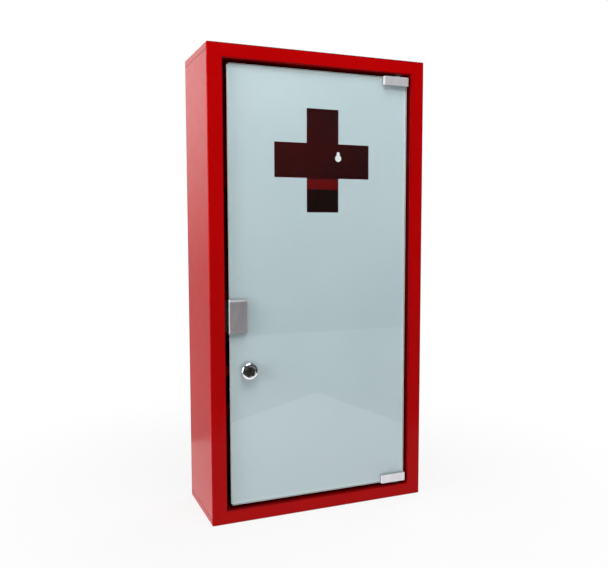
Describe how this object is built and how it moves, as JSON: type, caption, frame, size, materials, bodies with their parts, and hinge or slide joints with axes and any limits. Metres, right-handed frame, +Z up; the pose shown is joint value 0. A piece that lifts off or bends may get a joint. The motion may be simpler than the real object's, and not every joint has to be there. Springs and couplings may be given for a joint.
{
  "type": "wall cabinet",
  "caption": "Tall shallow wall cabinet in folded sheet steel with shelves, a framed glass door with a clear cross window, pivot hinges, a pull clip and a cam lock.",
  "frame": {"origin": "centre of the back panel's outer face, on the wall plane", "axes": "+Z up, -Y out of the wall towards the door, +X towards the hinges (to the right when facing the door)"},
  "size_m": [0.3, 0.125, 0.6],
  "materials": {
    "red_powder_coat": "gloss red powder coat with a fine orange peel",
    "door_glass": "clear toughened glass with a faint green tint and ground edges",
    "back_print": "opaque pale printed coat behind the glass",
    "satin_clip": "satin plated die casting",
    "brushed_pull": "upright brushed stainless steel",
    "lock_chrome": "bright chrome plate",
    "zinc_plate": "bright zinc plate",
    "black_screw": "blackened steel",
    "wafer_brass": "stamped brass",
    "black_plastic": "moulded black plastic",
    "magnet_ferrite": "sintered ferrite",
    "soft_pad": "soft clear vinyl",
    "black_rubber": "moulded rubber"
  },
  "bodies": {
    "case": {"front_wrapper": "red_powder_coat", "top_cap": "red_powder_coat", "bottom_cap": "red_powder_coat", "back_panel": "red_powder_coat", "shelf_lower": "red_powder_coat", "shelf_middle": "red_powder_coat", "shelf_upper": "red_powder_coat", "shelf_brackets": "red_powder_coat", "pivot_doublers": "red_powder_coat", "pivot_bush_top": "black_plastic", "pivot_bush_bottom": "black_plastic", "thrust_washer": "black_plastic", "catch_bracket": "red_powder_coat", "catch_body": "black_plastic", "catch_magnet": "magnet_ferrite", "catch_poles": "zinc_plate", "catch_screws": "zinc_plate", "lock_keeper": "red_powder_coat", "keeper_rivet": "red_powder_coat"},
    "door": {"door_glass": "door_glass", "door_print": "back_print", "hinge_clip_top": "satin_clip", "hinge_clip_bottom": "satin_clip", "hinge_pads": "soft_pad", "pressure_plates": "zinc_plate", "hinge_set_screws": "black_screw", "pivot_pin_top": "zinc_plate", "pivot_pin_bottom": "zinc_plate", "pull_clip": "brushed_pull", "pull_liner": "soft_pad", "lock_housing": "lock_chrome", "lock_front_washer": "black_rubber", "lock_rear_washer": "black_rubber", "lock_nut": "zinc_plate"},
    "lock": {"lock_plug": "lock_chrome", "lock_wafers": "wafer_brass", "lock_cam": "zinc_plate", "cam_washer": "zinc_plate", "cam_screw": "zinc_plate"}
  },
  "joints": [
    {"name": "door_swing", "type": "hinge", "parent": "case", "child": "door", "pos_m": [0.1155, -0.11165, 0], "axis": [0, 0, 1], "range_deg": [0, 110]},
    {"name": "lock_turn", "type": "hinge", "parent": "door", "child": "lock", "pos_m": [-0.1, -0.119, -0.104], "axis": [0, -1, 0], "range_deg": [0, 90]}
  ]
}
